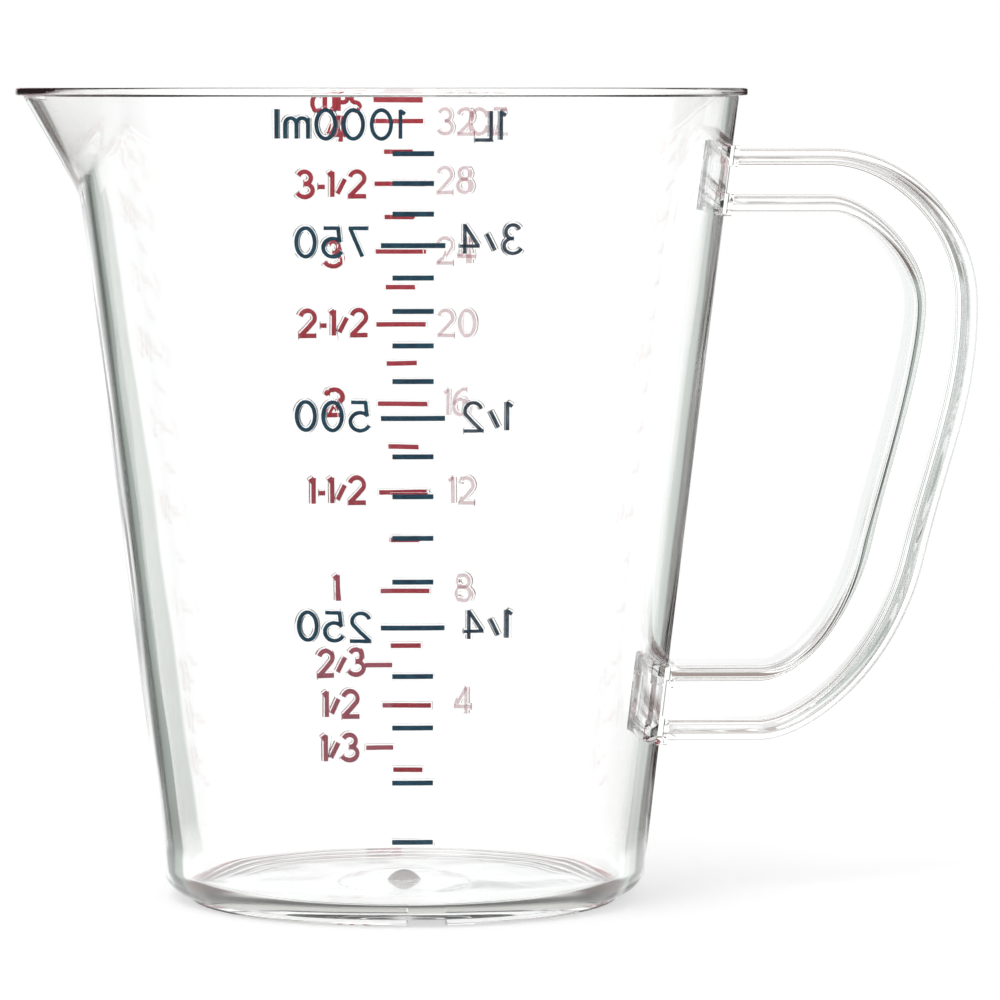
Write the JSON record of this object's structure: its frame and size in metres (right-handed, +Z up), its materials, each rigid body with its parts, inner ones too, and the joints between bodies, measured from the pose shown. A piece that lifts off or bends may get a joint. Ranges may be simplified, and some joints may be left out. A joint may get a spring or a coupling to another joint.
{
  "type": "measuring cup",
  "caption": "Clear tapered measuring cup with a pouring spout, an out-turned rim, an I-beam D handle and raised inked graduation marks on both sides.",
  "frame": {"origin": "centre of the bounding box in plan, at the underside of the foot ring", "axes": "+Z up through the open mouth, +X towards the handle, -X towards the spout, blue scale on the -Y wall and red scale on the +Y wall"},
  "size_m": [0.1674, 0.1202, 0.142],
  "materials": {
    "clear_plastic": "polished clear moulded plastic",
    "blue_ink": "printed ink on raised marks",
    "red_ink": "printed ink on raised marks"
  },
  "bodies": {
    "root": {"blue_tick_050_ml": "blue_ink", "blue_tick_100_ml": "blue_ink", "blue_tick_150_ml": "blue_ink", "blue_tick_200_ml": "blue_ink", "blue_tick_250_ml": "blue_ink", "blue_tick_300_ml": "blue_ink", "blue_tick_350_ml": "blue_ink", "blue_tick_400_ml": "blue_ink", "blue_tick_450_ml": "blue_ink", "blue_tick_500_ml": "blue_ink", "blue_tick_550_ml": "blue_ink", "blue_tick_600_ml": "blue_ink", "blue_tick_650_ml": "blue_ink", "blue_tick_700_ml": "blue_ink", "blue_tick_750_ml": "blue_ink", "blue_tick_800_ml": "blue_ink", "blue_tick_850_ml": "blue_ink", "blue_tick_900_ml": "blue_ink", "handle": "clear_plastic", "red_brim_line": "red_ink", "red_tick_02_oz": "red_ink", "red_tick_04_oz": "red_ink", "red_tick_06_oz": "red_ink", "red_tick_08_oz": "red_ink", "red_tick_10_oz": "red_ink", "red_tick_12_oz": "red_ink", "red_tick_14_oz": "red_ink", "red_tick_16_oz": "red_ink", "red_tick_18_oz": "red_ink", "red_tick_20_oz": "red_ink", "red_tick_22_oz": "red_ink", "red_tick_24_oz": "red_ink", "red_tick_26_oz": "red_ink", "red_tick_28_oz": "red_ink", "red_tick_30_oz": "red_ink", "red_tick_32_oz": "red_ink", "red_tick_one_third_cup": "red_ink", "red_tick_two_thirds_cup": "red_ink", "vessel": "clear_plastic"}
  },
  "joints": []
}
